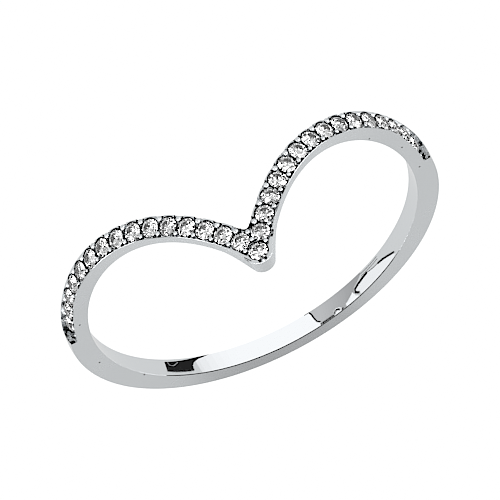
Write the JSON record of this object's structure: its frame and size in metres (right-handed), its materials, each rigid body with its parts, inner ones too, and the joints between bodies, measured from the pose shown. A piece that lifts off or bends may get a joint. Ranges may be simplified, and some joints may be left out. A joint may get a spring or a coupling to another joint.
{
  "type": "contour ring",
  "caption": "Narrow white metal contour ring whose front rises in a V, set with one row of small round brilliant stones, with a plain polished shank.",
  "frame": {"origin": "centre of the finger bore, level with the flat back edge that the ring lies on", "axes": "+Z along the finger axis, away from the flat back edge and towards the point of the V; -Y from the axis to the point of the V; +X across the ring"},
  "size_m": [0.0196, 0.0191, 0.0076],
  "materials": {
    "white_gold": "rhodium-plated white gold, polished, with the side walls softly satin",
    "diamond": "clear colourless round brilliant, polished facets"
  },
  "bodies": {
    "root": {"band": "white_gold", "stone_point": "diamond", "stone_left_1": "diamond", "stone_left_2": "diamond", "stone_left_3": "diamond", "stone_left_4": "diamond", "stone_left_5": "diamond", "stone_left_6": "diamond", "stone_left_7": "diamond", "stone_left_8": "diamond", "stone_left_9": "diamond", "stone_left_10": "diamond", "stone_left_11": "diamond", "stone_left_12": "diamond", "stone_left_13": "diamond", "stone_left_14": "diamond", "stone_left_15": "diamond", "stone_right_1": "diamond", "stone_right_2": "diamond", "stone_right_3": "diamond", "stone_right_4": "diamond", "stone_right_5": "diamond", "stone_right_6": "diamond", "stone_right_7": "diamond", "stone_right_8": "diamond", "stone_right_9": "diamond", "stone_right_10": "diamond", "stone_right_11": "diamond", "stone_right_12": "diamond", "stone_right_13": "diamond", "stone_right_14": "diamond", "stone_right_15": "diamond"}
  },
  "joints": []
}
